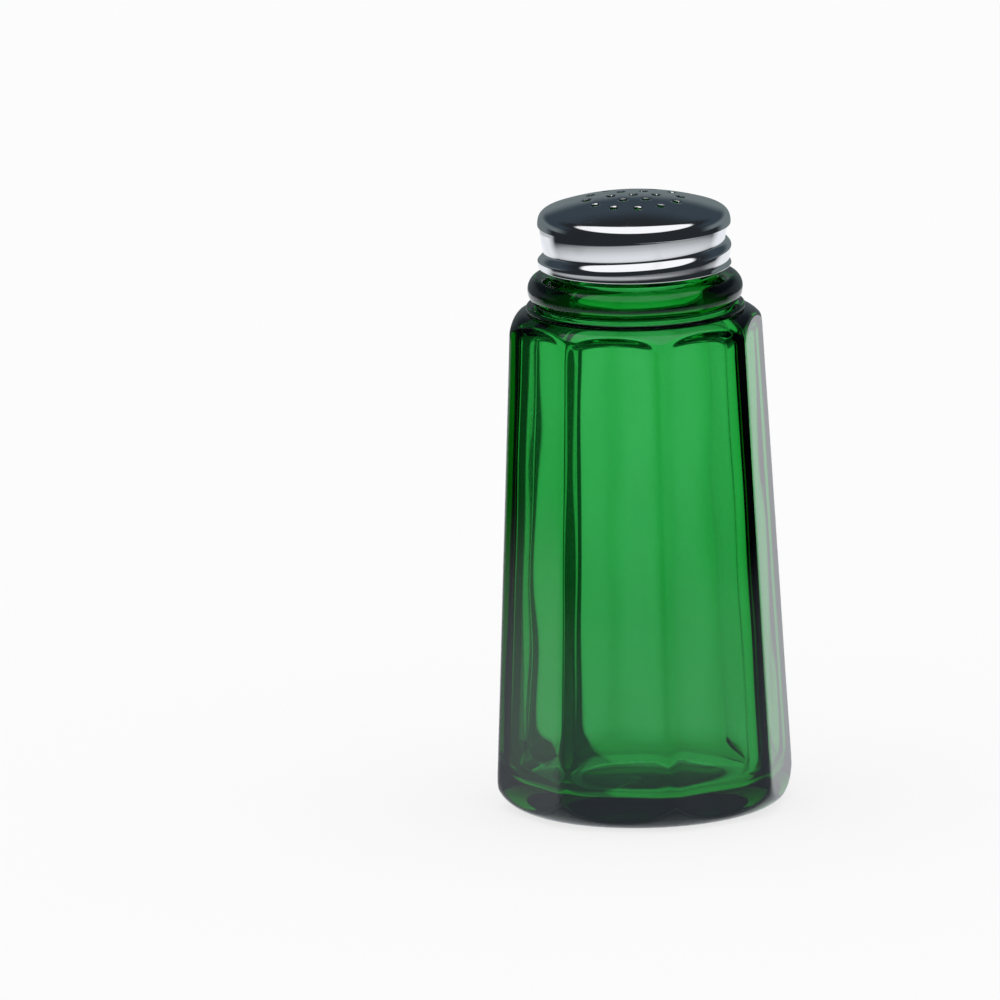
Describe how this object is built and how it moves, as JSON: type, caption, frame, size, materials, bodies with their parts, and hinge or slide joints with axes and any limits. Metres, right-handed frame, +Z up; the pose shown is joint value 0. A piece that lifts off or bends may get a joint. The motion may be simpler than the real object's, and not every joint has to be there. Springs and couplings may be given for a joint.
{
  "type": "spice shaker",
  "caption": "Octagonal green pressed-glass table shaker for salt, pepper or spice, with a screw-on mushroom-topped metal cap that has dispensing holes.",
  "frame": {"origin": "centre of the jar's foot, on the plane that it rests on", "axes": "+Z up along the shared axis of jar and cap; one flat of the jar faces -Y and one faces +X"},
  "size_m": [0.0464, 0.0464, 0.102],
  "materials": {
    "green_glass": "pressed emerald-green glass, fire-polished, glossy",
    "seal_plastic": "natural moulded polyethylene",
    "cap_metal": "bright polished plating over stamped sheet"
  },
  "bodies": {
    "jar": {"glass_jar": "green_glass"},
    "seal": {"seal_ring": "seal_plastic"},
    "cap": {"shaker_cap": "cap_metal"}
  },
  "joints": [
    {"name": "cap_rise", "type": "slide", "parent": "jar", "child": "seal", "axis": [0, 0, 1], "range_m": [0, 0.00423]},
    {"name": "cap_turn", "type": "hinge", "parent": "seal", "child": "cap", "pos_m": [0, 0, 0.0925], "axis": [0, 0, 1], "range_deg": [0, 360]}
  ],
  "couplings": [
    {"joint": "cap_rise", "follows": "cap_turn", "m_per_rad": 0.00067376}
  ]
}
